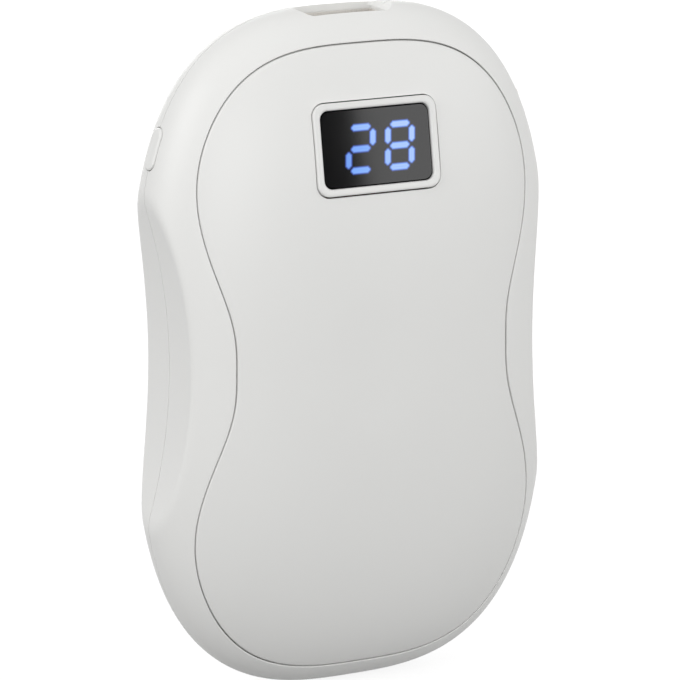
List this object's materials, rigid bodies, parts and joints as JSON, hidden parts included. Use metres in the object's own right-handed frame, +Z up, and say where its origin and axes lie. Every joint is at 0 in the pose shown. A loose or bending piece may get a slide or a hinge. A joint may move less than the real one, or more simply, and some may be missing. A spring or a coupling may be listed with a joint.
{
  "type": "rechargeable hand warmer",
  "caption": "Pocket hand warmer: oval scooped housing, hourglass heating panel on each face, digit display, side button, output and charging sockets.",
  "frame": {"origin": "middle of the housing's bounding box", "axes": "+Z up through the output socket, -Y out of the display face, +X to the right seen from the display side"},
  "size_m": [0.0676, 0.0286, 0.11],
  "materials": {
    "shell_plastic": "satin",
    "panel_plastic": "satin",
    "bezel_plastic": "semi-gloss",
    "button_plastic": "satin",
    "smoked_window": "polished",
    "lit_digits": "glowing",
    "black_plastic": "matt",
    "circuit_board": "solder mask",
    "screw_steel": "zinc plated",
    "switch_plastic": "matt",
    "socket_steel": "nickel plated",
    "socket_plastic": "matt",
    "contact_gold": "gold plated",
    "ferrite": "matt",
    "capacitor_can": "drawn",
    "cell_foil": "laminated foil",
    "lead_jacket": "silicone",
    "spreader_aluminium": "rolled",
    "heater_film": "polyimide",
    "foam": "closed cell",
    "sensor_resin": "dipped"
  },
  "bodies": {
    "root": {"front_shell": "shell_plastic", "back_shell": "shell_plastic", "front_panel": "panel_plastic", "back_panel": "panel_plastic", "display_bezel": "bezel_plastic", "display_lens": "smoked_window", "display_digits": "lit_digits", "display_module": "black_plastic", "display_board": "circuit_board", "display_header": "black_plastic", "display_screws": "screw_steel", "switch_body": "black_plastic", "usb_a_shell": "socket_steel", "usb_a_tongue": "socket_plastic", "usb_a_contacts": "contact_gold", "usb_c_shell": "socket_steel", "usb_c_tongue": "black_plastic", "main_board": "circuit_board", "controller_chip": "black_plastic", "power_inductor": "ferrite", "capacitors": "capacitor_can", "board_screws": "screw_steel", "battery_cell": "cell_foil", "battery_protection_board": "circuit_board", "battery_leads": "lead_jacket", "front_heat_plate": "spreader_aluminium", "back_heat_plate": "spreader_aluminium", "front_heater_film": "heater_film", "back_heater_film": "heater_film", "front_heater_leads": "lead_jacket", "back_heater_leads": "lead_jacket", "front_insulation_pad": "foam", "back_insulation_pad": "foam", "thermistor": "sensor_resin", "shell_screws": "screw_steel"},
    "power_button": {"power_button": "button_plastic"},
    "switch_plunger": {"switch_plunger": "switch_plastic"}
  },
  "joints": [
    {"name": "power_button_press", "type": "slide", "parent": "root", "child": "power_button", "axis": [1, 0, 0], "range_m": [0, 0.0004], "stiffness_N_per_m": 2000, "springref_m": -0.0001},
    {"name": "switch_plunger_press", "type": "slide", "parent": "root", "child": "switch_plunger", "axis": [1, 0, 0], "range_m": [0, 0.0006]}
  ],
  "couplings": [
    {"joint": "switch_plunger_press", "follows": "power_button_press", "ratio": 1}
  ]
}
